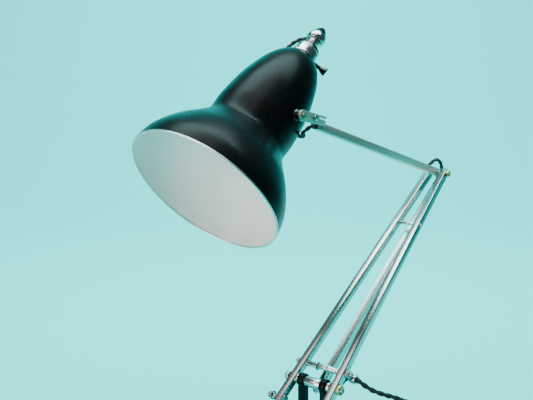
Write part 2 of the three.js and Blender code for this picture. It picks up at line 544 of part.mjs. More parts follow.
function makeFlex() {
  const headRoute = [
    ...inWorld(head, [[0, -4.5, CORD_HOLE_T], [0, -8, CORD_HOLE_T], [0, -12, CORD_HOLE_T], [1.2, -17.5, 208], [1.5, -24.5, 200],
      [-1, -30, 187], [-8.5, -34.5, 171], [-20, -34.5, 156], [-32, -28.5, 143], [-41.5, -17, 132], [-46.5, -1, 124],
      [-43.5, 16, 117.5], [-35, 30, 111]]),
    ...inWorld(upperArm, [[229.4, -5.4, -9.9], [227.5, -3.2, -6.2], [225, -1.4, -3], [221.5, -0.3, -0.8], [217, 0, -0.1],
      [210, 0, 0], [190, 0, 0], [110, 0, 0]]),
  ];
  piece('head_flex', sweep(headRoute, FLEX_R, 36), CLOTH);

  const elbowRoute = [
    ...inWorld(upperArm, [[109.7, 0, 0], [40, 0, 0], [27, 0, 0.2], [19.5, -0.3, 2.6], [13, -0.8, 7.6],
      [7.5, -0.95, 11.8], [1.5, -0.95, 13.6], [-4.5, -0.95, 12], [-9, -0.95, 7.5]]),
    ...inWorld(lowerArms, [[-8.9, -0.95, 287.7], [-11.5, -0.95, 283.8], [-12.2, -0.95, 281.4]]),
  ];
  piece('elbow_flex', sweep(elbowRoute, FLEX_R, 36), CLOTH);

  const linkRoute = [[-12.25, -0.95, 280.6], [-12.2, -0.95, 276], [-12.1, -0.6, 269], [-12, 0, 262], [-12, 0, 250],
    [-12, 0, 75]];
  piece('link_flex', sweep(inWorld(lowerArms, linkRoute), FLEX_R, 20), CLOTH);

  const [clipX, clipZ] = CLIP_CENTRE;
  const tailRoute = [[-12, 0, 60], [-12, 0, 36], [-12, 0, 25.8], [-13, 0, 19.5], [-16, 0.3, 14], [-19.2, 1.2, 10.8],
    [-21.3, 4.5, 9.2], [-21.3, 9.5, 9.5], [-18.3, 15.5, 12.5], [-13.5, 21, 16.5], [-10.4, 25.5, 19.2],
    [clipX, 30, clipZ], [clipX, 33, clipZ]];
  piece('tail_flex', sweep(inWorld(lowerArms, tailRoute), FLEX_R, 34), CLOTH);
}

// The free cord leaves the clip, falls behind the base and lies there in a coil of seven turns.
function makeSupplyCord() {
  const [clipX, clipZ] = CLIP_CENTRE;
  const leadRoute = [
    ...inWorld(lowerArms, [[clipX, 33.3, clipZ], [clipX, 37.2, clipZ]]),
    [-21.5, 41, 170.2], [-23.5, 46, 166.7], [-28, 52.5, 162.2], [-35.5, 59, 158], [-44, 64.5, 154.3], [-52, 69, 150.5],
  ];
  piece('cord_lead', sweep(leadRoute, CORD_R, 14), CLOTH);
  const dropRoute = [[-52.3, 69.2, 150.3], [-62, 73.6, 144.5], [-73, 76, 134], [-83, 76.5, 118], [-91, 75.5, 99],
    [-97, 73.5, 78], [-102, 71, 56], [-107, 67.5, 35], [-113, 63.5, 17], [-121, 60.4, 6.6], [-130, 58.8, 3],
    [-137.2, 58.7, 2.8]];
  piece('cord', sweep(dropRoute, CORD_R, 24), CLOTH);

  const [r0, r1] = [COIL_MID_R - COIL_HALF_W, COIL_MID_R + COIL_HALF_W];
  const coil = revolve([[r0, 0], [r1, 0], [r1, COIL_H], [r0, COIL_H], [r0, 0]], 32);
  piece('cord_coil', coil.translate(...COIL_CENTRE, 0), CLOTH);
  const tailRoute = [[-193.7, 1.5, 17], [-193, -8, 13.8], [-189.5, -20, 9], [-182, -31, 6], [-171.5, -39.5, 5.4],
    [-164, -43.6, 6.4], [-158.6, -44, 6.7]];
  piece('cord_tail', sweep(tailRoute, CORD_R, 10), CLOTH);
}

const PLUG_X = [-158, -136, -104, -86];  // relief, body, pins, end
const PLUG_Y = -44;
const PLUG_Z = 6.7;

function makePlug() {
  const relief = revolve([[0, PLUG_X[0]], [3.7, PLUG_X[0]], [5, PLUG_X[1] + 1], [0, PLUG_X[1] + 1]], 16);
  const body = box([PLUG_X[1], PLUG_X[2]], [-13, 13], [-6.4, 6.4]);
  const pins = [-9, 9].map((y) => rodX(2, PLUG_X[2] - 1, PLUG_X[3]).translate(0, y, 0));
  const plug = join(body, relief.rotateY(Math.PI / 2), ...pins);
  piece('plug', plug.translate(0, PLUG_Y, PLUG_Z), BAKELITE);
}

makeBase();
makeFork();
makePivot();
makeLowerArm('left', -1);
makeLowerArm('right', 1);
makeCrossbar();
makeLowerArmFasteners();
makeElbow();
makeUpperArm();
makeKnuckle();
makeLink();
makeCrank();
makeSprings();
makeShade();
makeShadeFastening();
makeLampholder();
makeFlex();
makeSupplyCord();
makePlug();

export default lamp;
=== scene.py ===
"""Spring-balanced architect desk lamp: fine surfaces, materials, light and camera over the CAD frame."""
import json
import math

import bmesh
import bpy
from mathutils import Matrix, Vector


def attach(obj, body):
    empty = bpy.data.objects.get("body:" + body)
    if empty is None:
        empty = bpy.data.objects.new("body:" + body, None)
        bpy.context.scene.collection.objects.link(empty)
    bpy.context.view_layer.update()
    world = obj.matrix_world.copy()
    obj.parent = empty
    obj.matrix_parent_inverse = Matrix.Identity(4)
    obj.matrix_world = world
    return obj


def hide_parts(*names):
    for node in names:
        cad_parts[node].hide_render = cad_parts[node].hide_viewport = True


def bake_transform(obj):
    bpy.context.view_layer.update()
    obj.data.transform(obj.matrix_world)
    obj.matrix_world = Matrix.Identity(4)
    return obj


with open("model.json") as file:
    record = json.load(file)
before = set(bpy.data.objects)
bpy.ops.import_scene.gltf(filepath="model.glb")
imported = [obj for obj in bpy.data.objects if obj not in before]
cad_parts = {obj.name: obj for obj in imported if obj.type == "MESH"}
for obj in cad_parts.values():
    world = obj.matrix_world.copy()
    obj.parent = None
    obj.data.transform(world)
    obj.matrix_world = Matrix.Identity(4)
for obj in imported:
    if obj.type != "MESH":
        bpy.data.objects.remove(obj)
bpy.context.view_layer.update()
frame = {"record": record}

MM = 0.001
TAU = 2 * math.pi


# ---- Frames: local millimetres to metres in the lamp's own frame --------------------------------
class Frame:
    def __init__(self, x, z, degrees, y=0):
        self.origin = Vector((x, y, z))
        self.turn = Matrix.Rotation(math.radians(degrees), 3, "Y")

    def at(self, x, y, z):
        return (self.origin + self.turn @ Vector((x, y, z))) * MM

    def local(self, point):
        return self.turn.transposed() @ (Vector(point) - self.origin)

    def millimetres(self, x, y, z):
        return tuple(self.origin + self.turn @ Vector((x, y, z)))


ELBOW_AT = 281                      # along the lower arms, from their pivot
LOWER_TURN, UPPER_TURN, HEAD_TURN = -47.8, -18.4, -49.9
UPPER_LENGTH = 220                  # elbow to the front end of the upper tube
HEAD_Y = -46.4                      # the shade hangs beside the arm
SHADE_PIVOT_T = 105.6               # tilt pivot, up from the shade's mouth
SWITCH_T, SWITCH_TURN = 185.6, 143  # switch bar, up from the mouth and about the shade's axis
GAP = 0.3

LOWER = Frame(0, 165, LOWER_TURN)
elbow = LOWER.millimetres(0, 0, ELBOW_AT)
UPPER = Frame(elbow[0], elbow[2], UPPER_TURN)
tilt_pivot = UPPER.millimetres(247.3, 0, 3)
mouth = Matrix.Rotation(math.radians(HEAD_TURN), 3, "Y") @ Vector((0, 0, -SHADE_PIVOT_T))
HEAD = Frame(tilt_pivot[0] + mouth.x, tilt_pivot[2] + mouth.z, HEAD_TURN, HEAD_Y)


# ---- Camera -------------------------------------------------------------------------------------
def make_camera():
    data = bpy.data.cameras.new("camera")
    data.lens, data.sensor_width = 76.0, 36.0
    data.clip_start, data.clip_end = 0.01, 50
    camera = bpy.data.objects.new("camera", data)
    bpy.context.collection.objects.link(camera)
    azimuth, elevation = math.radians(132.32), math.radians(10.17)
    back = Vector((math.sin(azimuth) * math.cos(elevation), -math.cos(azimuth) * math.cos(elevation),
                   math.sin(elevation)))
    camera.location = (0.8246, 0.6868, 0.5427)
    camera.rotation_mode = "QUATERNION"
    camera.rotation_quaternion = (-back).to_track_quat("-Z", "Y")
    bpy.context.scene.camera = camera


# ---- Mesh helpers -------------------------------------------------------------------------------
def build(name, verts, faces, sharp=38):
    mesh = bpy.data.meshes.new(name)
    mesh.from_pydata([tuple(v) for v in verts], [], faces)
    mesh.validate()
    mesh.shade_smooth()
    mesh.set_sharp_from_angle(angle=math.radians(sharp))
    obj = bpy.data.objects.new(name, mesh)
    bpy.context.collection.objects.link(obj)
    return obj


def finish_piece(obj, material, body=None, nodes=(), slot=None):
    obj.data.materials.append(material)
    if nodes:
        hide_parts(*nodes)
    if body:
        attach(obj, body)
    return obj


def eased(profile, radius, steps=3):
    """Rounds the corners of an open [r, t] profile, where the neighbouring edges are long enough."""
    out = [profile[0]]
    for before, corner, after in zip(profile, profile[1:], profile[2:]):
        a, b, c = Vector(before), Vector(corner), Vector(after)
        u, v = a - b, c - b
        cut = min(radius, u.length / 2.2, v.length / 2.2)
        if u.length < 1e-6 or v.length < 1e-6 or u.angle(v) > math.radians(155):
            out.append(tuple(b))
            continue
        p, q = b + u.normalized() * cut, b + v.normalized() * cut
        for i in range(steps + 1):
            s = i / steps
            out.append(tuple(p * (1 - s) ** 2 + b * 2 * s * (1 - s) + q * s ** 2))
    out.append(profile[-1])
    return out


def lathe(name, place, profile, axis="z", sides=64, centre=(0, 0, 0), ease=0.4, closed=False, sharp=38):
    """Surface of revolution of [r, t] about an axis of the frame; closed joins the profile's ends."""
    points = eased(profile, ease) if ease else list(profile)
    verts, rings = [], []
    for r, t in points:
        ring = []
        count = 1 if r < 1e-6 else sides
        for i in range(count):
            a = TAU * i / sides
            u, v = r * math.cos(a), r * math.sin(a)
            local = {"z": (u, v, t), "y": (v, t, u), "x": (t, u, v)}[axis]
            ring.append(len(verts))
            verts.append(place.at(*(Vector(local) + Vector(centre))))
        rings.append(ring)
    faces = []
    pairs = list(zip(rings, rings[1:])) + ([(rings[-1], rings[0])] if closed else [])
    for low, high in pairs:
        for i in range(sides):
            j = (i + 1) % sides
            quad = [low[i % len(low)], low[j % len(low)], high[j % len(high)], high[i % len(high)]]
            face = []
            for index in quad:
                if index not in face:
                    face.append(index)
            if len(face) > 2:
                faces.append(face)
    return build(name, verts, faces, sharp)


def refined(node, width, name=None, sharp=40, segments=2):
    """Fine copy of a CAD node with its sharp edges rounded."""
    mesh = bpy.data.objects[node].data.copy()
    mesh.materials.clear()
    work = bmesh.new()
    work.from_mesh(mesh)
    bmesh.ops.remove_doubles(work, verts=work.verts, dist=1e-6)
    bmesh.ops.dissolve_limit(work, angle_limit=math.radians(1), verts=work.verts, edges=work.edges)
    edges = [e for e in work.edges if len(e.link_faces) == 2 and e.calc_face_angle(0) > math.radians(sharp)]
    bmesh.ops.bevel(work, geom=edges, offset=width * MM, segments=segments, profile=0.5, affect="EDGES",
                    clamp_overlap=True)
    bmesh.ops.triangulate(work, faces=[f for f in work.faces if len(f.verts) > 4])
    work.to_mesh(mesh)
    work.free()
    mesh.shade_smooth()
    mesh.set_sharp_from_angle(angle=math.radians(32))
    obj = bpy.data.objects.new(name or f"{node}_fine", mesh)
    bpy.context.collection.objects.link(obj)
    return obj


def rounded_square(side, corner, steps=4):
    half = side / 2
    points = []
    for quarter, (sx, sy) in enumerate(((1, 1), (-1, 1), (-1, -1), (1, -1))):
        for i in range(steps + 1):
            a = math.pi / 2 * (quarter + i / steps)
            x = sx * (half - corner) + corner * math.cos(a)
            y = sy * (half - corner) + corner * math.sin(a)
            points.append((x, y))
    return points


def square_tube(name, where, t0, t1, side=8.0, corner=1.1, wall=0.9, slots=()):
    """Hollow square tube along t; where(u, v, t) gives metres. A slot is (side index, t0, t1), left open."""
    outer, inner = rounded_square(side, corner), rounded_square(side - 2 * wall, 0.4)
    count = len(outer)
    stops = sorted({t0, t0 + 0.25, t1 - 0.25, t1, *[t for s in slots for t in s[1:]]})
    verts, rows = [], []
    for t in stops:
        shrink = 0.25 if t in (t0, t1) else 0.0
        row = []
        for (u, v), (p, q) in zip(outer, inner):
            scale = (side / 2 - shrink) / (side / 2)
            row.append((len(verts), len(verts) + 1))
            verts.append(where(u * scale, v * scale, t))
            verts.append(where(p, q, t))
        rows.append(row)
    steps = count // 4

    def open_at(i, a, b):
        return any(side_index == i // steps and i % steps == steps - 1 and s0 <= a and b <= s1
                   for side_index, s0, s1 in slots)

    faces = []
    for (a, low), (b, high) in zip(zip(stops, rows), zip(stops[1:], rows[1:])):
        for i in range(count):
            j = (i + 1) % count
            if open_at(i, a, b):
                faces.append([low[i][0], high[i][0], high[i][1], low[i][1]])
                faces.append([low[j][1], high[j][1], high[j][0], low[j][0]])
                continue
            faces.append([low[i][0], low[j][0], high[j][0], high[i][0]])
            faces.append([low[j][1], low[i][1], high[i][1], high[j][1]])
    for row, flip in ((rows[0], True), (rows[-1], False)):
        for i in range(count):
            j = (i + 1) % count
            quad = [row[i][0], row[j][0], row[j][1], row[i][1]]
            faces.append(quad[::-1] if flip else quad)
    return build(name, verts, faces, 50)


# ---- Curves -------------------------------------------------------------------------------------
def smooth_path(points, spacing):
    """Centripetal Catmull-Rom curve through the points, in steps of about the spacing."""
    pts = [Vector(p) for p in points]
    pts = [pts[0] * 2 - pts[1]] + pts + [pts[-1] * 2 - pts[-2]]
    dense = []
    for p0, p1, p2, p3 in zip(pts, pts[1:], pts[2:], pts[3:]):
        knots = [0.0]
        for a, b in ((p0, p1), (p1, p2), (p2, p3)):
            knots.append(knots[-1] + max((b - a).length, 1e-9) ** 0.5)
        k0, k1, k2, k3 = knots
        count = max(2, math.ceil((p2 - p1).length / (spacing / 4)))
        for i in range(count):
            t = k1 + (k2 - k1) * i / count
            a1 = p0 * ((k1 - t) / (k1 - k0)) + p1 * ((t - k0) / (k1 - k0))
            a2 = p1 * ((k2 - t) / (k2 - k1)) + p2 * ((t - k1) / (k2 - k1))
            a3 = p2 * ((k3 - t) / (k3 - k2)) + p3 * ((t - k2) / (k3 - k2))
            b1 = a1 * ((k2 - t) / (k2 - k0)) + a2 * ((t - k0) / (k2 - k0))
            b2 = a2 * ((k3 - t) / (k3 - k1)) + a3 * ((t - k1) / (k3 - k1))
            dense.append(b1 * ((k2 - t) / (k2 - k1)) + b2 * ((t - k1) / (k2 - k1)))
    dense.append(pts[-2])
    return even(dense, spacing)


def even(points, spacing):
    """The same line in equal steps."""
    lengths = [0.0]
    for a, b in zip(points, points[1:]):
        lengths.append(lengths[-1] + (b - a).length)
    count = max(2, round(lengths[-1] / spacing))
    out, k = [], 0
    for i in range(count + 1):
        target = lengths[-1] * i / count
        while k < len(lengths) - 2 and lengths[k + 1] < target:
            k += 1
        span = lengths[k + 1] - lengths[k]
        out.append(points[k].lerp(points[k + 1], (target - lengths[k]) / span if span else 0))
    return out


def length_of(points):
    return sum((b - a).length for a, b in zip(points, points[1:]))


def sweep(name, line, section, sides, turn=0.0, taper=None):
    """Skin round a line in metres; section(angle) is the radius, turned by turn radians each metre."""
    tangent = (line[1] - line[0]).normalized()
    normal = tangent.orthogonal().normalized()
    verts, faces, travelled = [], [], 0.0
    for k, point in enumerate(line):
        ahead = line[min(k + 1, len(line) - 1)] - line[max(k - 1, 0)]
        new_tangent = ahead.normalized()
        normal = tangent.rotation_difference(new_tangent) @ normal
        normal = (normal - new_tangent * normal.dot(new_tangent)).normalized()
        tangent = new_tangent
        side = tangent.cross(normal)
        if k:
            travelled += (point - line[k - 1]).length
        for i in range(sides):
            a = TAU * i / sides
            r = section(a - turn * travelled) * (taper(travelled) if taper else 1)
            verts.append(point + (normal * math.cos(a) + side * math.sin(a)) * r)
    for k in range(len(line) - 1):
        for i in range(sides):
            j = (i + 1) % sides
            faces.append([k * sides + i, k * sides + j, (k + 1) * sides + j, (k + 1) * sides + i])
    faces.append(list(range(sides))[::-1])
    faces.append([(len(line) - 1) * sides + i for i in range(sides)])
    return build(name, verts, faces, 60)


def twisted(name, line, diameter, sides=20):
    """Two cloth-covered cores twisted together, diameter across."""
    offset, core = 0.16 * diameter, 0.34 * diameter

    def section(a):
        c, s = abs(math.cos(a)), math.sin(a)
        return offset * c + math.sqrt(core ** 2 - (offset * s) ** 2)

    return sweep(name, line, section, sides, turn=TAU / (3.3 * diameter))


# ---- Routes of the flex and the supply cord, the same as the CAD's ------------------------------
FLEX_D = 0.0042
CORD_D = 0.0054
CLIP = (-9.6, 20)
COIL_CENTRE = (-160, 25)
COIL_INNER, COIL_OUTER = 28.3, 33.7
COIL_LAYER = 5.35

HEAD_ROUTE = [
    *[HEAD.at(*p) for p in ((0, -4.5, 210), (0, -8, 210), (0, -12, 210), (1.2, -17.5, 208), (1.5, -24.5, 200),
                            (-1, -30, 187), (-8.5, -34.5, 171), (-20, -34.5, 156), (-32, -28.5, 143),
                            (-41.5, -17, 132), (-46.5, -1, 124), (-43.5, 16, 117.5), (-35, 30, 111))],
    *[UPPER.at(*p) for p in ((229.4, -5.4, -9.9), (227.5, -3.2, -6.2), (225, -1.4, -3), (221.5, -0.3, -0.8),
                             (217, 0, -0.1), (210, 0, 0), (190, 0, 0), (110, 0, 0))],
]
ELBOW_ROUTE = [
    *[UPPER.at(*p) for p in ((109.7, 0, 0), (40, 0, 0), (27, 0, 0.2), (19.5, -0.3, 2.6), (13, -0.8, 7.6),
                             (7.5, -0.95, 11.8), (1.5, -0.95, 13.6), (-4.5, -0.95, 12), (-9, -0.95, 7.5))],
    *[LOWER.at(*p) for p in ((-8.9, -0.95, 287.7), (-11.5, -0.95, 283.8), (-12.2, -0.95, 281.4))],
]
LINK_ROUTE = [LOWER.at(*p) for p in ((-12.25, -0.95, 280.6), (-12.2, -0.95, 276), (-12.1, -0.6, 269),
                                     (-12, 0, 262), (-12, 0, 250), (-12, 0, 75))]
TAIL_ROUTE = [LOWER.at(*p) for p in (
    (-12, 0, 60), (-12, 0, 36), (-12, 0, 25.8), (-13, 0, 19.5), (-16, 0.3, 14), (-19.2, 1.2, 10.8),
    (-21.3, 4.5, 9.2), (-21.3, 9.5, 9.5), (-18.3, 15.5, 12.5), (-13.5, 21, 16.5), (-10.4, 25.5, 19.2),
    (CLIP[0], 30, CLIP[1]),
    (CLIP[0], 33, CLIP[1]))]
LEAD_ROUTE = [
    LOWER.at(CLIP[0], 33.3, CLIP[1]), LOWER.at(CLIP[0], 37.2, CLIP[1]),
    *[Vector(p) * MM for p in ((-21.5, 41, 170.2), (-23.5, 46, 166.7), (-28, 52.5, 162.2), (-35.5, 59, 158),
                               (-44, 64.5, 154.3), (-52, 69, 150.5))],
]
DROP_ROUTE = [Vector(p) * MM for p in (
    (-52.3, 69.2, 150.3), (-62, 73.6, 144.5), (-73, 76, 134), (-83, 76.5, 118), (-91, 75.5, 99),
    (-97, 73.5, 78), (-102, 71, 56), (-107, 67.5, 35), (-113, 63.5, 17), (-121, 60.4, 6.6), (-130, 58.8, 3),
    (-137.2, 58.7, 2.8), (-148, 58.7, 2.8))]
COIL_EXIT_ROUTE = [Vector(p) * MM for p in (
    (-193.7, 12, 18.6), (-193.7, 1.5, 17), (-193, -8, 13.8), (-189.5, -20, 9), (-182, -31, 6),
    (-171.5, -39.5, 5.4), (-164, -43.6, 6.4), (-158.6, -44, 6.7))]


def coil_route():
    """Seven turns laid two side by side and four high, each layer wound before the next."""
    inward, rise, outward = -1, 0, 1
    moves = [(410, inward), (730, rise), (1050, outward), (1370, rise), (1690, inward), (2010, rise),
             (2330, outward)]
    points = []
    degrees = 100
    while degrees <= 2690:
        radius, layer = COIL_OUTER, 0.0
        for start, kind in moves:
            s = min(1, max(0, (degrees - start) / 40))
            s = s * s * (3 - 2 * s)
            if kind == rise:
                layer += s
            else:
                radius += kind * (COIL_OUTER - COIL_INNER) * s
        a = math.radians(degrees)
        points.append(Vector((COIL_CENTRE[0] + radius * math.cos(a), COIL_CENTRE[1] + radius * math.sin(a),
                              2.8 + COIL_LAYER * layer)) * MM)
        degrees += 10
    return points


def make_cords(cloth):
    """Cords come first: the twisted lead below the clip, then the free cord to the plug."""
    lead_line = smooth_path(LEAD_ROUTE, 0.0009)
    lead = twisted("supply_lead", lead_line, CORD_D)
    finish_piece(lead, cloth, None, ["cord_lead"], "braided_cloth")
    cord_line = smooth_path(DROP_ROUTE + coil_route() + COIL_EXIT_ROUTE, 0.0013)
    cord = twisted("supply_cord", cord_line, CORD_D, 14)
    finish_piece(cord, cloth, None, ["cord", "cord_coil", "cord_tail"], "braided_cloth")
    return lead, lead_line, cord, cord_line


# ---- Materials ----------------------------------------------------------------------------------
class Nodes:
    """Small helper that builds a Principled material from object-space textures."""

    def __init__(self, name, **sockets):
        self.material = bpy.data.materials.new(name)
        self.material.use_nodes = True
        self.tree = self.material.node_tree
        self.shader = self.tree.nodes["Principled BSDF"]
        for key, value in sockets.items():
            self.shader.inputs[key.replace("_", " ")].default_value = value
        self.coords = self.tree.nodes.new("ShaderNodeTexCoord").outputs["Object"]

    def link(self, a, b):
        self.tree.links.new(a, b)

    def mapped(self, scale=(1, 1, 1), turn=(0, 0, 0)):
        node = self.tree.nodes.new("ShaderNodeMapping")
        node.vector_type = "TEXTURE"
        node.inputs["Rotation"].default_value = [math.radians(d) for d in turn]
        node.inputs["Scale"].default_value = [1 / s for s in scale]
        self.link(self.coords, node.inputs["Vector"])
        return node.outputs[0]

    def noise(self, scale, detail=3.0, rough=0.55, vector=None):
        node = self.tree.nodes.new("ShaderNodeTexNoise")
        node.inputs["Scale"].default_value = scale
        node.inputs["Detail"].default_value = detail
        node.inputs["Roughness"].default_value = rough
        self.link(vector or self.coords, node.inputs["Vector"])
        return node.outputs["Fac"]

    def ramp(self, fac, stops):
        node = self.tree.nodes.new("ShaderNodeValToRGB")
        ramp = node.color_ramp
        while len(ramp.elements) < len(stops):
            ramp.elements.new(0.5)
        for element, (position, value) in zip(ramp.elements, stops):
            element.position = position
            grey = value if isinstance(value, tuple) else (value, value, value)
            element.color = (*grey, 1)
        self.link(fac, node.inputs["Fac"])
        return node.outputs["Color"]

    def mix(self, fac, a, b, mode="MIX"):
        node = self.tree.nodes.new("ShaderNodeMix")
        node.data_type, node.blend_type = "RGBA", mode
        for socket, value in ((node.inputs[0], fac), (node.inputs[6], a), (node.inputs[7], b)):
            if hasattr(value, "is_output"):
                self.link(value, socket)
            elif isinstance(value, tuple):
                socket.default_value = (*value, 1)
            else:
                socket.default_value = value
        return node.outputs[2]

    def colour(self, output):
        self.link(output, self.shader.inputs["Base Color"])

    def rough(self, output):
        self.link(output, self.shader.inputs["Roughness"])

    def bump(self, height, strength, distance):
        node = self.tree.nodes.new("ShaderNodeBump")
        node.inputs["Strength"].default_value = strength
        node.inputs["Distance"].default_value = distance
        self.link(height, node.inputs["Height"])
        self.link(node.outputs[0], self.shader.inputs["Normal"])


def enamel(name):
    n = Nodes(name, Metallic=0.0, Coat_Weight=0.0, Coat_Roughness=0.12, IOR=1.16)
    base = n.ramp(n.noise(14, 4), [(0.3, (0.0035, 0.0036, 0.004)), (0.75, (0.0075, 0.0075, 0.008))])
    chips = n.ramp(n.noise(430, 2, 0.4), [(0.735, 0.0), (0.76, 1.0)])
    dusted = n.mix(chips, base, (0.045, 0.043, 0.04))
    n.colour(dusted)
    n.rough(n.ramp(n.noise(22, 6, 0.65), [(0.3, 0.24), (0.75, 0.38)]))
    n.bump(n.noise(260, 2), 0.06, 0.0004)
    return n.material


def plated(name, dark, light, turn, rough=(0.16, 0.32), stretch=40, tarnish=(0.34, 0.30, 0.25),
           metallic=1.0):
    """Plated metal with fine scratches drawn along one direction."""
    n = Nodes(name, Metallic=metallic)
    along = n.mapped((stretch, 14, 1) if turn is not None else (14, 14, 14), (0, turn or 0, 0))
    lines = n.noise(22, 5, 0.7, along)
    base = n.ramp(lines, [(0.25, dark), (0.7, light)])
    spots = n.ramp(n.noise(150, 4, 0.6), [(0.66, 0.0), (0.78, 0.6)])
    n.colour(n.mix(spots, base, tarnish))
    n.rough(n.ramp(lines, [(0.25, rough[0]), (0.75, rough[1])]))
    n.bump(lines, 0.05, 0.0002)
    return n.material


def silver_lining(name):
    n = Nodes(name, Metallic=0.0)
    turned = n.mapped((1, 1, 1), (0, HEAD_TURN, 0))
    cloud = n.noise(9, 5, 0.6, turned)
    scratch = n.noise(8, 5, 0.75, n.mapped((14, 90, 6), (0, HEAD_TURN, 18)))
    base = n.ramp(cloud, [(0.3, (0.82, 0.76, 0.74)), (0.7, (0.90, 0.84, 0.82))])
    marks = n.ramp(scratch, [(0.64, 0.0), (0.72, 0.55)])
    specks = n.ramp(n.noise(300, 2, 0.5), [(0.74, 0.0), (0.77, 0.7)])
    n.colour(n.mix(specks, n.mix(marks, base, (0.72, 0.71, 0.68)), (0.16, 0.14, 0.12)))
    n.rough(n.ramp(cloud, [(0.3, 0.42), (0.7, 0.5)]))
    n.bump(scratch, 0.08, 0.0003)
    return n.material


def plastic(name, colour, rough):
    n = Nodes(name, Coat_Weight=0.2, Coat_Roughness=0.1, IOR=1.55)
    n.colour(n.ramp(n.noise(60, 3), [(0.3, colour), (0.8, tuple(c * 2.2 for c in colour))]))
    n.rough(n.ramp(n.noise(90, 4), [(0.3, rough), (0.8, rough + 0.16)]))
    n.bump(n.noise(500, 2), 0.05, 0.0002)
    return n.material


def woven(name, colour, light, scale=900):
    n = Nodes(name, Sheen_Weight=0.25, Sheen_Roughness=0.5, IOR=1.4)
    weave = n.tree.nodes.new("ShaderNodeTexVoronoi")
    weave.inputs["Scale"].default_value = scale
    n.link(n.coords, weave.inputs["Vector"])
    n.colour(n.mix(n.ramp(n.noise(120, 4), [(0.35, 0.0), (0.8, 1.0)]), colour, light))
    n.shader.inputs["Roughness"].default_value = 0.88
    n.bump(weave.outputs["Distance"], 0.5, 0.0006)
    return n.material


def casting(name):
    n = Nodes(name, Metallic=0.6)
    n.colour(n.ramp(n.noise(60, 5), [(0.3, (0.035, 0.037, 0.04)), (0.75, (0.09, 0.085, 0.08))]))
    n.rough(n.ramp(n.noise(90, 4), [(0.3, 0.55), (0.8, 0.8)]))
    n.bump(n.noise(240, 4), 0.5, 0.001)
    return n.material


def pearl(name):
    n = Nodes(name, Transmission_Weight=0.25, IOR=1.5, Coat_Weight=0.4, Coat_Roughness=0.08)
    n.colour(n.ramp(n.noise(30, 3), [(0.3, (0.74, 0.74, 0.70)), (0.8, (0.84, 0.84, 0.80))]))
    n.rough(n.ramp(n.noise(40, 3), [(0.3, 0.3), (0.8, 0.42)]))
    return n.material


# ---- Head ---------------------------------------------------------------------------------------
SHADE_KEYS = [(80, 0), (76.7, 18.2), (65.7, 39.5), (50.2, 59.8), (42.9, 72.6), (42.7, 96.1), (39, 128.1),
              (31, 157), (21.9, 174), (14.1, 181)]
SHADE_WALL = 1.2


def uniform_spline(points, per_span):
    """Uniform Catmull-Rom curve, as the CAD's outline is."""
    pts = [Vector((r, t)) for r, t in points]
    out = []
    for i in range(len(pts) - 1):
        p0 = pts[max(i - 1, 0)]
        p1, p2 = pts[i], pts[i + 1]
        p3 = pts[min(i + 2, len(pts) - 1)]
        for k in range(per_span):
            t = k / per_span
            v0, v1 = (p2 - p0) * 0.5, (p3 - p1) * 0.5
            out.append(p1 * (2 * t ** 3 - 3 * t ** 2 + 1) + p2 * (-2 * t ** 3 + 3 * t ** 2)
                       + v0 * (t ** 3 - 2 * t ** 2 + t) + v1 * (t ** 3 - t ** 2))
    out.append(pts[-1])
    return out


def make_shade(m):
    outline = uniform_spline(SHADE_KEYS, 12)
    inner = []
    for i, p in enumerate(outline):
        tangent = (outline[min(i + 1, len(outline) - 1)] - outline[max(i - 1, 0)]).normalized()
        inner.append(Vector((p.x - SHADE_WALL * tangent.y, max(0.15, p.y + SHADE_WALL * tangent.x))))
    shell = [(p.x, p.y) for p in outline if p.y > 1.3]
    lining = [(p.x, p.y) for p in inner if p.y > 1.0]
    finish_piece(lathe("shade_shell", HEAD, shell, sides=128, ease=0, sharp=60), m["enamel"], "head",
                 ["shade"], "black_paint")
    finish_piece(lathe("shade_lining", HEAD, lining, sides=128, ease=0, sharp=60), m["lining"], "head")
    top = [shell[-1], (shell[-1][0] - 0.3, shell[-1][1] + 0.2), (lining[-1][0], lining[-1][1])]
    finish_piece(lathe("shade_top_edge", HEAD, top, sides=128, ease=0), m["enamel"], "head",
                 slot="black_paint")
    # The mouth is rolled outwards over a wire, and the paint has worn off the bead.
    bead, centre = [], (79.05, 0.95)
    for i in range(15):
        a = math.radians(-250 + 340 * i / 14)
        bead.append((centre[0] + 0.93 * math.cos(a), centre[1] + 0.93 * math.sin(a)))
    finish_piece(lathe("shade_rim", HEAD, bead, sides=128, ease=0, closed=True), m["rim"], "head")


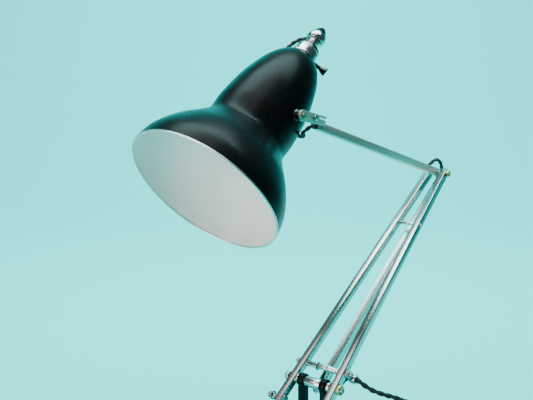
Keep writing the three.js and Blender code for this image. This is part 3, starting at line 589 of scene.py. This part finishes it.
def make_lampholder(m):
    body = [(0, 160.2), (10.6, 160.2), (12, 161.8), (12, 172), (15, 172), (15, 175.6), (12.4, 175.6),
            (12.4, 181.4), (14.5, 181.4), (14.5, 182.9), (12.4, 183.2), (12.4, 191.2), (11.9, 191.6),
            (11.9, 192.2), (12.4, 192.6), (12.2, 194), (11.4, 194.6), (0, 194.6)]
    barrel = lathe("lampholder_barrel", HEAD, body, sides=96)
    finish_piece(barrel, m["barrel"], "head", ["lampholder_body"], "nickel")
    ring = [(0, 194.9), (10.7, 194.9), (11.3, 195.4), (11.3, 196.3), (10.7, 196.8), (0, 196.8)]
    gasket = lathe("lampholder_gasket", HEAD, ring, sides=96)
    finish_piece(gasket, m["bakelite"], "head", ["lampholder_ring"], "bakelite")
    cap = [(0, 197.1), (7.4, 197.1), (7.4, 199.2), (6.5, 199.6), (6.1, 200.2), (6.9, 201), (6.1, 201.8),
           (6.9, 202.6), (6.1, 203.4), (6.2, 205.4), (9, 206.7), (9.8, 208.6), (9.8, 210.8), (9, 214),
           (7.9, 216.4), (0, 216.4)]
    cap_shell = lathe("cap_shell", HEAD, cap, sides=96, ease=0.3)
    finish_piece(cap_shell, m["barrel"], "head", ["cord_cap"], "nickel")
    tip = [(0, 216), (7.6, 216.2), (7.4, 217.2), (5.1, 221.4), (2.8, 224.6), (1.3, 225.7), (0, 225.8)]
    finish_piece(lathe("cap_tip", HEAD, tip, sides=64, ease=0.3), m["enamel"], "head", slot="bakelite")

    # Push bar switch through the barrel, flared at its end.
    turn = math.radians(SWITCH_TURN)
    axis = Vector((math.cos(turn), math.sin(turn), 0))
    across = Vector((-math.sin(turn), math.cos(turn), 0))
    profile = eased([(0, 2.5), (2.1, 2.5), (2.1, 20.3), (2.8, 21.4), (4.6, 26.2), (4.4, 27.6), (0, 28)], 0.3)
    sides, verts, faces = 48, [], []
    for r, t in profile:
        for i in range(sides):
            a = TAU * i / sides
            p = axis * t + across * (r * math.cos(a)) + Vector((0, 0, SWITCH_T + r * math.sin(a)))
            verts.append(HEAD.at(*p))
    for k in range(len(profile) - 1):
        for i in range(sides):
            j = (i + 1) % sides
            faces.append([k * sides + i, k * sides + j, (k + 1) * sides + j, (k + 1) * sides + i])
    finish_piece(build("switch_knob", verts, faces), m["bakelite"], "switch", ["switch_bar"], "bakelite")

    glass = uniform_spline([(0, 70.5), (14.9, 74.2), (25.1, 85.4), (27.8, 101.4), (23.5, 117.4), (16, 132.4),
                            (12, 146.3)], 8)
    outline = [(max(0, p.x), p.y) for p in glass] + [(12, 149.6), (11.7, 149.8)]
    bulb = lathe("bulb_glass", HEAD, outline, sides=64, ease=0)
    finish_piece(bulb, m["pearl"], "head", ["bulb"], "pearl_glass")
    cap = [(11.7, 149.4), (11.9, 150.2), (11.9, 159.3), (11.4, 159.8), (0, 159.8)]
    finish_piece(lathe("bulb_cap", HEAD, cap, sides=64), m["nickel"], "head", slot="nickel")


def make_bush(m):
    y1 = 4.3 - HEAD_Y - GAP
    bush = [(1.9, 42.9), (5.6, 42.9), (5.6, 45.2), (5.0, 45.8), (5.0, 47.2), (5.6, 47.8), (5.6, y1),
            (1.9, y1)]
    moulding = lathe("bush_moulding", HEAD, bush, "y", centre=(0, 0, SHADE_PIVOT_T), closed=True)
    finish_piece(moulding, m["bakelite"], "head", ["shade_bush"], "bakelite")


# ---- Arms ---------------------------------------------------------------------------------------
ARM_Y = (26.3, 9.1)
SLOPE = (ARM_Y[0] - ARM_Y[1]) / ELBOW_AT


def arm_y(along):
    return ARM_Y[0] - SLOPE * along


def make_arms(m):
    lean = math.atan(SLOPE)
    for name, side in (("left", -1), ("right", 1)):
        turn = Matrix.Rotation(side * lean, 3, "X")

        def where(u, v, t, side=side, turn=turn):
            return LOWER.at(*(turn @ Vector((u, v, t)) + Vector((0, side * ARM_Y[0], 0))))

        tube = square_tube(f"arm_tube_{name}", where, -31, 286)
        finish_piece(tube, m["nickel_lower_painted_dark"], "lower_arms", [f"lower_arm_{name}"], "nickel")
    upper = square_tube("upper_tube", lambda u, v, t: UPPER.at(t, v, u), -4, UPPER_LENGTH)
    finish_piece(upper, m["nickel_upper_painted_reflection"], "upper_arm", ["upper_arm_tube"], "nickel")


def make_link(m):
    link = refined("link_tube", 0.45, "link_channel")
    finish_piece(link, m["nickel_lower_painted_dark"], "link", ["link_tube"], "nickel")


def sleeve(name, y0, y1, flange, m, node):
    profile = [(2.3, y0), (3, y0), (3, y1), (2.3, y1)]
    if flange < 0:
        profile = [(2.3, y0), (3, y0), (3, y1 - 1.1), (4.2, y1 - 1.1), (4.2, y1), (2.3, y1)]
    if flange > 0:
        profile = [(2.3, y0), (4.2, y0), (4.2, y0 + 1.1), (3, y0 + 1.1), (3, y1), (2.3, y1)]
    piece = lathe(name, LOWER, profile, "y", 48, (0, 0, 19), 0.25, closed=True)
    finish_piece(piece, m["nickel"], "lower_arms", [node], "nickel")


def make_crossbar(m):
    inner = arm_y(19) - 4 - 0.7
    sleeve("sleeve_left", -inner, -6, -1, m, "crossbar_sleeve_left")
    sleeve("sleeve_middle", -5.7, 5.7, 0, m, "crossbar_sleeve_middle")
    sleeve("sleeve_right", 6, inner, 1, m, "crossbar_sleeve_right")
    clip = [(3.0, 30), (4.2, 30), (4.7, 30.6), (4.7, 36.3), (4.2, 36.9), (3.0, 36.9)]
    ring = lathe("clip_ring", LOWER, clip, "y", 48, (CLIP[0], 0, CLIP[1]), 0.3, closed=True)
    finish_piece(ring, m["nickel"], "lower_arms", slot="nickel")
    strap = refined("cord_clip", 0.35, "clip_strap")
    finish_piece(strap, m["nickel"], "lower_arms", ["cord_clip"], "nickel")


# ---- Springs ------------------------------------------------------------------------------------
def make_springs(m):
    for name, y in (("left", -38), ("right", 38)):
        low = Vector((0, y, 50))
        bolt = LOWER.millimetres(0, 0, -25)
        high = Vector((bolt[0], y, bolt[2]))
        axis = (high - low).normalized()
        side, front = axis.cross(Vector((0, 1, 0))).normalized(), Vector((0, 1, 0))
        length = (high - low).length
        wire, radius, reach = 0.9, 4.1, 9.0
        line = []
        turns = (length - 2 * reach) / 1.95
        # lower hook, coil, upper hook, as one wire
        for i in range(22):
            a = math.radians(-60 + 330 * i / 21)
            line.append(low + (side * -math.cos(a) + axis * -math.sin(a)) * 3.6)
        line.append(low + axis * 5.2 + side * 1.6)
        steps = int(turns * 16)
        for i in range(steps + 1):
            a = TAU * turns * i / steps
            grow = min(1, (i + 6) / 16, (steps - i + 6) / 16)
            centre = low + axis * (reach + (length - 2 * reach) * i / steps)
            line.append(centre + (side * math.cos(a) + front * math.sin(a)) * radius * grow)
        line.append(high - axis * 5.2 + side * 1.6)
        for i in range(22):
            a = math.radians(270 - 330 * i / 21)
            line.append(high + (side * -math.cos(a) + axis * math.sin(a)) * 3.6)
        wire_line = [p * MM for p in line]
        spring = sweep(f"coil_spring_{name}", wire_line, lambda a: wire * MM, 8)
        finish_piece(spring, m["spring"], None, [f"spring_{name}", f"spring_hook_{name}"], "spring_steel")
        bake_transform(spring)


# ---- Flex ---------------------------------------------------------------------------------------
def make_flex(m):
    head_line = smooth_path(HEAD_ROUTE, 0.0008)
    head = twisted("flex_head", head_line, FLEX_D)
    finish_piece(head, m["cloth"], None, ["head_flex"], "braided_cloth")
    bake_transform(head)
    elbow_line = smooth_path(ELBOW_ROUTE, 0.0008)
    over = twisted("flex_elbow", elbow_line, FLEX_D)
    finish_piece(over, m["cloth"], None, ["elbow_flex"], "braided_cloth")
    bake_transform(over)
    link = twisted("flex_link", smooth_path(LINK_ROUTE, 0.0012), FLEX_D, 14)
    finish_piece(link, m["cloth"], "link", ["link_flex"], "braided_cloth")
    tail = twisted("flex_tail", smooth_path(TAIL_ROUTE, 0.0008), FLEX_D)
    finish_piece(tail, m["cloth"], "lower_arms", ["tail_flex"], "braided_cloth")


# ---- Plug and small parts -----------------------------------------------------------------------
def make_plug(m):
    y, z = -44, 6.7
    place = Frame(0, z, 0)
    relief = [(2.9, -158), (3.7, -157.6), (3.75, -154), (3.4, -153.4), (3.9, -152.6), (4.0, -149.4),
              (3.6, -148.8),
              (4.15, -148), (4.3, -144.8), (3.9, -144.2), (4.5, -143.4), (4.9, -136), (0, -135.5)]
    strain = lathe("plug_relief", place, relief, "x", 40, (0, y, 0), 0.25)
    finish_piece(strain, m["bakelite"], "base", slot="bakelite")
    work = bmesh.new()
    bmesh.ops.create_cube(work, size=1)
    for v in work.verts:
        front = v.co.x > 0
        x, width, height = (-104, 26, 12.8) if front else (-136, 18, 11)
        v.co = Vector((x, y + v.co.y * width, z + v.co.z * height))
        v.co *= MM
    bmesh.ops.bevel(work, geom=work.edges[:], offset=2.4 * MM, segments=5, profile=0.6, affect="EDGES")
    mesh = bpy.data.meshes.new("plug_body")
    work.to_mesh(mesh)
    work.free()
    mesh.shade_smooth()
    mesh.set_sharp_from_angle(angle=math.radians(40))
    body = bpy.data.objects.new("plug_body", mesh)
    bpy.context.collection.objects.link(body)
    finish_piece(body, m["bakelite"], "base", ["plug"], "bakelite")
    for name, dy in (("a", -9), ("b", 9)):
        profile = [(0, -105), (2, -105), (2, -88), (1.4, -86.2), (0, -86.1)]
        pin = lathe(f"plug_pin_{name}", place, profile, "x", 32, (0, y + dy, 0), 0.3)
        finish_piece(pin, m["brass"], "base", slot="brass")
    return [body, strain]


REFINED = {
    "fork": (0.8, "enamel"), "base_cover": (1.6, "enamel"), "base_felt": (0.4, "felt"),
    "knuckle_bracket": (0.3, "nickel_upper_painted_reflection"), "shade_nut": (0.3, "nickel"), "elbow_lug": (0.3, "nickel"),
    "crank_lever": (0.3, "nickel"),
    "spring_stud_left": (0.35, "steel"), "spring_stud_right": (0.35, "steel"), "swivel_nut": (0.4, "steel"),
    "pivot_bolt": (0.4, "steel"), "pivot_nut": (0.4, "brass"), "pivot_spacer_left": (0.3, "nickel"),
    "pivot_spacer_right": (0.3, "nickel"), "crossbar_rod": (0.3, "steel"), "crossbar_nut": (0.3, "nickel"),
    "brace_rod": (0.2, "nickel"), "spring_bolt_left": (0.3, "steel"), "spring_bolt_right": (0.3, "steel"),
    "elbow_bolt": (0.3, "brass"), "elbow_nut": (0.3, "brass"), "elbow_bush": (0.2, "nickel"),
    "tilt_screw": (0.3, "brass"), "clamp_screw": (0.25, "nickel"), "link_foot_pin": (0.25, "steel"),
    "link_top_pin": (0.25, "steel"), "link_ferrule": (0.2, "brass"),
}
PLAIN = {"base_weight": "iron", "swivel_spindle": "steel"}


def make_small_parts(m):
    bodies = frame["record"]["behaviour"]["bodies"]
    slots = {s["node"]: s["material_slot"] for s in frame["record"]["subparts"]}
    home = {node: body for body, nodes in bodies.items() for node in nodes}
    for node, (width, look) in REFINED.items():
        finish_piece(refined(node, width), m[look], home[node], [node], slots[node])
    for node, look in PLAIN.items():
        obj = bpy.data.objects[node]
        for slot in obj.material_slots:
            slot.material = m[look]


# ---- Stage --------------------------------------------------------------------------------------
def make_stage():
    pale = bpy.data.materials.new("pale_floor")
    pale.use_nodes = True
    shader = pale.node_tree.nodes["Principled BSDF"]
    shader.inputs["Base Color"].default_value = (0.015, 0.84, 0.83, 1)
    shader.inputs["Roughness"].default_value = 0.95
    shader.inputs["Specular IOR Level"].default_value = 0.0
    reach, rows, verts, faces = 6.0, [], [], []
    cove_at, cove_radius = 1.6, 1.2
    curve = [(0.0, 0.0), (cove_at, 0.0)]
    for degrees in range(10, 91, 10):
        a = math.radians(degrees)
        curve.append((cove_at + cove_radius * math.sin(a), cove_radius - cove_radius * math.cos(a)))
    curve.append((cove_at + cove_radius, 4.2))
    back = Vector((-0.728, -0.663, 0)).normalized()
    across = Vector((-back.y, back.x, 0))
    for s, z in [(-reach, 0.0)] + curve:
        rows.append(len(verts))
        for w in (-reach, reach):
            verts.append(back * s + across * w + Vector((0, 0, z - 0.0005)))
    for a, b in zip(rows, rows[1:]):
        faces.append([a, a + 1, b + 1, b])
    cove = build("stage_cove", verts, faces, 60)
    cove.data.materials.append(pale)


def light(name, where, target, size, power, colour=(1, 1, 1)):
    data = bpy.data.lights.new(name, "AREA")
    data.shape, data.size, data.size_y = "RECTANGLE", size[0], size[1]
    data.energy, data.color = power, colour
    obj = bpy.data.objects.new(name, data)
    bpy.context.collection.objects.link(obj)
    obj.location = where
    obj.rotation_mode = "QUATERNION"
    obj.rotation_quaternion = (Vector(target) - Vector(where)).to_track_quat("-Z", "Y")


def make_lights():
    world = bpy.data.worlds.new("studio")
    bpy.context.scene.world = world
    world.use_nodes = True
    background = world.node_tree.nodes["Background"]
    background.inputs["Color"].default_value = (0.42, 0.86, 0.85, 1)
    background.inputs["Strength"].default_value = 0.12
    light("soft_top", (0.2, 0.1, 1.7), (0.0, 0.0, 0.3), (0.9, 0.9), 10)
    light("soft_side", (1.1, -0.6, 0.95), (0.05, 0, 0.35), (0.5, 0.6), 3)
    light("soft_low", (1.3, -0.25, 0.22), (0.08, -0.04, 0.42), (0.5, 0.4), 14, (1.0, 0.86, 0.81))
    light("backdrop", (-0.5, -0.45, 2.0), (-1.7, -1.55, 0.35), (1.8, 1.8), 130, (0.58, 1.0, 1.0))


# ---- Build --------------------------------------------------------------------------------------
make_camera()
looks = {
    "cloth": woven("looks_cloth", (0.006, 0.006, 0.007), (0.020, 0.019, 0.020)),
    "felt": woven("looks_felt", (0.012, 0.035, 0.020), (0.02, 0.055, 0.032), 1500),
    "enamel": enamel("looks_enamel"),
    "lining": silver_lining("looks_lining"),
    # Lampholder barrel and cap: a darker copy of the nickel, with the chrome's dark reflections painted into
    # its colour.
    "barrel": plated("looks_barrel", (0.38, 0.37, 0.35), (0.58, 0.56, 0.53), None, (0.12, 0.26)),
    "rim": plated("looks_rim", (0.60, 0.58, 0.54), (0.80, 0.78, 0.73), None, (0.3, 0.45)),
    "nickel": plated("looks_nickel", (0.52, 0.50, 0.47), (0.74, 0.72, 0.68), None),
    # Lower tubes and link: a darker copy of the nickel, with the tubes' dark reflections painted into the
    # colour.
    "nickel_lower_painted_dark": plated("looks_nickel_lower", (0.42, 0.41, 0.39), (0.64, 0.62, 0.59), -47.8),
    # Upper tube and knuckle bracket: the nickel is tinted warm beige and made only half metal, a painted
    # reflection standing in for what the tube reflects.
    "nickel_upper_painted_reflection": plated("looks_nickel_upper", (0.48, 0.42, 0.37), (0.66, 0.59, 0.53), 71.6, (0.3, 0.45),
                           metallic=0.5),
    "brass": plated("looks_brass", (0.45, 0.29, 0.11), (0.70, 0.50, 0.22), None, (0.2, 0.38), 40,
                    (0.20, 0.12, 0.05)),
    "steel": plated("looks_steel", (0.22, 0.22, 0.22), (0.42, 0.42, 0.41), None, (0.28, 0.5)),
    "spring": plated("looks_spring", (0.12, 0.12, 0.125), (0.26, 0.26, 0.26), None, (0.25, 0.45)),
    "bakelite": plastic("looks_bakelite", (0.005, 0.0045, 0.004), 0.22),
    "iron": casting("looks_iron"),
    "pearl": pearl("looks_pearl"),
}
lead, lead_line, cord, cord_line = make_cords(looks["cloth"])
plug_pieces = make_plug(looks)
tuple(LEAD_ROUTE[1])
tuple(LEAD_ROUTE[-1])
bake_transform(lead)
tuple(DROP_ROUTE[0])
tuple(DROP_ROUTE[7])
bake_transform(cord)
tuple(lead_line[0])
length_of(lead_line)
[tuple(p) for p in lead_line[::4] + [lead_line[-1]]]
tuple(cord_line[0])
length_of(cord_line)
[tuple(p) for p in cord_line[::2] + [cord_line[-1]]]

make_shade(looks)
make_lampholder(looks)
make_bush(looks)
make_arms(looks)
make_link(looks)
make_crossbar(looks)
make_springs(looks)
make_flex(looks)
make_small_parts(looks)
make_stage()
make_lights()
